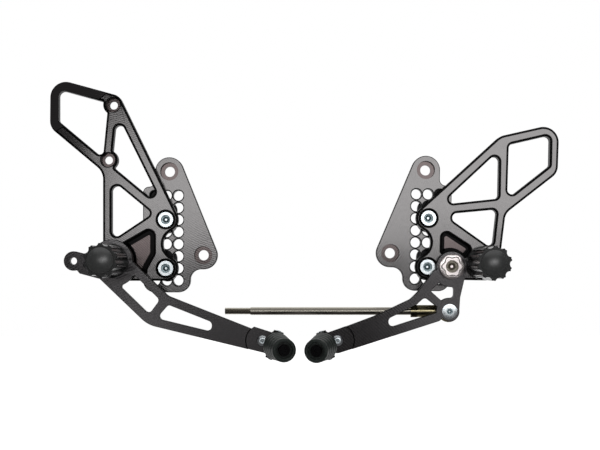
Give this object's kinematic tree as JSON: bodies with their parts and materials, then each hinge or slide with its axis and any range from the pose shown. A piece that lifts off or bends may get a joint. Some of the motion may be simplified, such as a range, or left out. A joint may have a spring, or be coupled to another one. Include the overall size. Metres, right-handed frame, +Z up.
{
  "type": "rear sets footrest",
  "caption": "Motorbike rear sets: brake and gear side brackets with adjuster plates, foot pegs, folding toe levers and linkage rod, laid out flat.",
  "frame": {"origin": "centre of the brake plate's upper frame-bolt hole at the plate's back face", "axes": "+X from the brake side to the gear side as laid out, +Y away from the rider's feet towards the frame, +Z up"},
  "size_m": [0.4168, 0.112, 0.2277],
  "materials": {
    "anodised": "black anodised, satin",
    "zinc_steel": "bright zinc",
    "stainless": "satin",
    "bronze": "plain",
    "gold_zinc": "yellow zinc",
    "rubber": "matt",
    "plastic": "satin"
  },
  "bodies": {
    "frame_side": {"brake_plate": "anodised", "brake_bracket": "anodised", "brake_bracket_bolts": "zinc_steel", "brake_nut_bars": "zinc_steel", "pedal_washer": "stainless", "pedal_sleeve": "stainless", "brake_peg": "anodised", "brake_peg_cap": "plastic", "brake_peg_bolt": "zinc_steel", "gear_plate": "anodised", "gear_bracket": "anodised", "gear_bracket_bolts": "zinc_steel", "gear_nut_bars": "zinc_steel", "lever_washer": "stainless", "pivot_bolt": "stainless", "peg_collar": "anodised", "gear_peg": "anodised", "gear_peg_cap": "plastic", "gear_peg_bolt": "zinc_steel"},
    "pedal_group": {"brake_pedal": "anodised", "pedal_bush": "bronze", "brake_toe_block": "anodised", "brake_toe_screw": "zinc_steel", "brake_toe_pin": "zinc_steel", "brake_toe_spring": "stainless"},
    "brake_toe_group": {"brake_toe_spindle": "anodised", "brake_toe_rubber": "rubber", "brake_toe_end_screw": "zinc_steel"},
    "lever_group": {"gear_lever": "anodised", "lever_bush": "bronze", "gear_toe_block": "anodised", "gear_toe_screw": "zinc_steel", "gear_toe_pin": "zinc_steel", "gear_toe_spring": "stainless", "rod_bolt": "zinc_steel", "rod_ball": "stainless", "rod_spacer": "zinc_steel", "rod_nut": "zinc_steel"},
    "gear_toe_group": {"gear_toe_spindle": "anodised", "gear_toe_rubber": "rubber", "gear_toe_end_screw": "zinc_steel"},
    "rod_group": {"rod_end": "gold_zinc", "lock_nut": "gold_zinc", "shift_rod": "stainless"}
  },
  "joints": [
    {"name": "brake_pedal_pivot", "type": "hinge", "parent": "frame_side", "child": "pedal_group", "pos_m": [-0.0453, -0.0266, -0.0738], "axis": [0, 1, 0], "range_deg": [0, 12]},
    {"name": "gear_lever_pivot", "type": "hinge", "parent": "frame_side", "child": "lever_group", "pos_m": [0.23119, -0.0266, -0.07848], "axis": [0, 1, 0], "range_deg": [-10, 10]},
    {"name": "brake_toe_fold", "type": "hinge", "parent": "pedal_group", "child": "brake_toe_group", "pos_m": [0.08731, -0.0341, -0.14206], "axis": [-0.304, 0, -0.9527], "range_deg": [0, 35], "stiffness_Nm_per_rad": 0.1, "springref_deg": -34.38},
    {"name": "gear_toe_fold", "type": "hinge", "parent": "lever_group", "child": "gear_toe_group", "pos_m": [0.12863, -0.0341, -0.1423], "axis": [-0.334, 0, 0.9426], "range_deg": [0, 35], "stiffness_Nm_per_rad": 0.1, "springref_deg": -34.38},
    {"name": "rod_swivel", "type": "hinge", "parent": "lever_group", "child": "rod_group", "pos_m": [0.2296, -0.017, -0.11506], "axis": [0, -1, 0], "range_deg": [-15, 100]}
  ]
}
